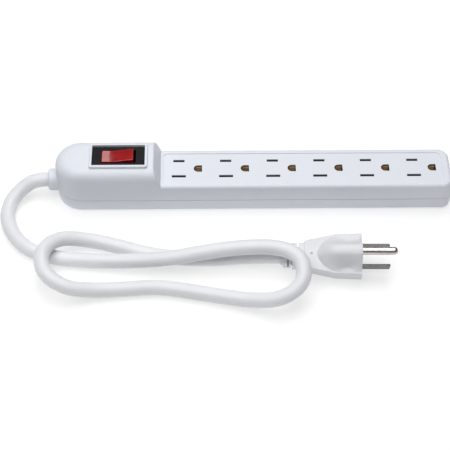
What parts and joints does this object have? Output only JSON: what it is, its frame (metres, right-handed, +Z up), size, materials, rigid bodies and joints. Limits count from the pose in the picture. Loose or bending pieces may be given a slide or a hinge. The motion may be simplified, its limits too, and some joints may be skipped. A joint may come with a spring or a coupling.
{
  "type": "power strip",
  "caption": "White outlet strip with a raised lighted rocker switch at the cord end, a panel of grounded outlets, and a short looped round cord with a moulded three-pin plug.",
  "frame": {"origin": "middle of the underside of the housing", "axes": "+X along the strip from the cord end to the blind end, +Y across it away from the cord loop, +Z up out of the outlet face"},
  "size_m": [0.284, 0.1142, 0.0362],
  "materials": {
    "housing_plastic": "cool white satin moulding",
    "label_foil": "blank silver-grey rating label",
    "screw_steel": "zinc-plated steel",
    "clamp_plastic": "dark moulding",
    "bus_brass": "stamped brass strip",
    "switch_plastic": "black nylon",
    "rocker_red": "translucent red",
    "plunger_plastic": "natural acetal",
    "spring_steel": "spring wire",
    "contact_brass": "tinned brass",
    "bimetal_steel": "bimetal strip with a silver contact",
    "lamp_glass": "clear glass",
    "resistor_body": "lacquered ceramic",
    "sleeve_plastic": "vinyl-insulated receptacle",
    "wire_black": "black insulation",
    "wire_white": "white insulation",
    "wire_green": "green insulation",
    "cord_jacket": "soft white vinyl jacket",
    "plug_plastic": "soft white vinyl moulding",
    "bridge_plastic": "hard insert",
    "blade_nickel": "nickel-plated brass, dulled",
    "pin_nickel": "nickel-plated brass, bright"
  },
  "bodies": {
    "strip": {"top_housing": "housing_plastic", "bottom_housing": "housing_plastic", "rating_label": "label_foil", "housing_screws": "screw_steel", "cord_clamp": "clamp_plastic", "clamp_screws": "screw_steel", "hot_bus": "bus_brass", "neutral_bus": "bus_brass", "ground_bus": "bus_brass", "switch_housing": "switch_plastic", "line_terminal": "contact_brass", "bimetal_arm": "bimetal_steel", "load_terminal": "contact_brass", "lamp_terminal": "contact_brass", "neon_lamp": "lamp_glass", "lamp_resistor": "resistor_body", "terminal_sleeves": "sleeve_plastic", "line_wire": "wire_black", "load_wire": "wire_black", "neutral_wire": "wire_white", "lamp_wire": "wire_white", "ground_wire": "wire_green", "cord_inner_sheath": "cord_jacket", "plug_body": "plug_plastic", "plug_bridge": "bridge_plastic", "plug_hot_blade": "blade_nickel", "plug_neutral_blade": "blade_nickel", "plug_ground_pin": "pin_nickel", "plug_strain_relief": "plug_plastic", "cord": "cord_jacket"},
    "rocker_paddle": {"rocker": "rocker_red", "plunger_spring": "spring_steel"},
    "plunger": {"switch_plunger": "plunger_plastic"},
    "lever": {"contact_lever": "contact_brass"}
  },
  "joints": [
    {"name": "rocker_tilt", "type": "hinge", "parent": "strip", "child": "rocker_paddle", "pos_m": [-0.0822, 0, 0.0295], "axis": [0, 1, 0], "range_deg": [0, 12]},
    {"name": "lever_tilt", "type": "hinge", "parent": "strip", "child": "lever", "pos_m": [-0.0822, 0, 0.018], "axis": [0, 1, 0], "range_deg": [-6, 0]},
    {"name": "plunger_slide", "type": "slide", "parent": "rocker_paddle", "child": "plunger", "axis": [-0.1045, 0, 0.9945], "range_m": [0, 0.0012], "stiffness_N_per_m": 300, "deforming": ["plunger_spring"]}
  ],
  "couplings": [
    {"joint": "lever_tilt", "follows": "rocker_tilt", "ratio": -0.5}
  ]
}
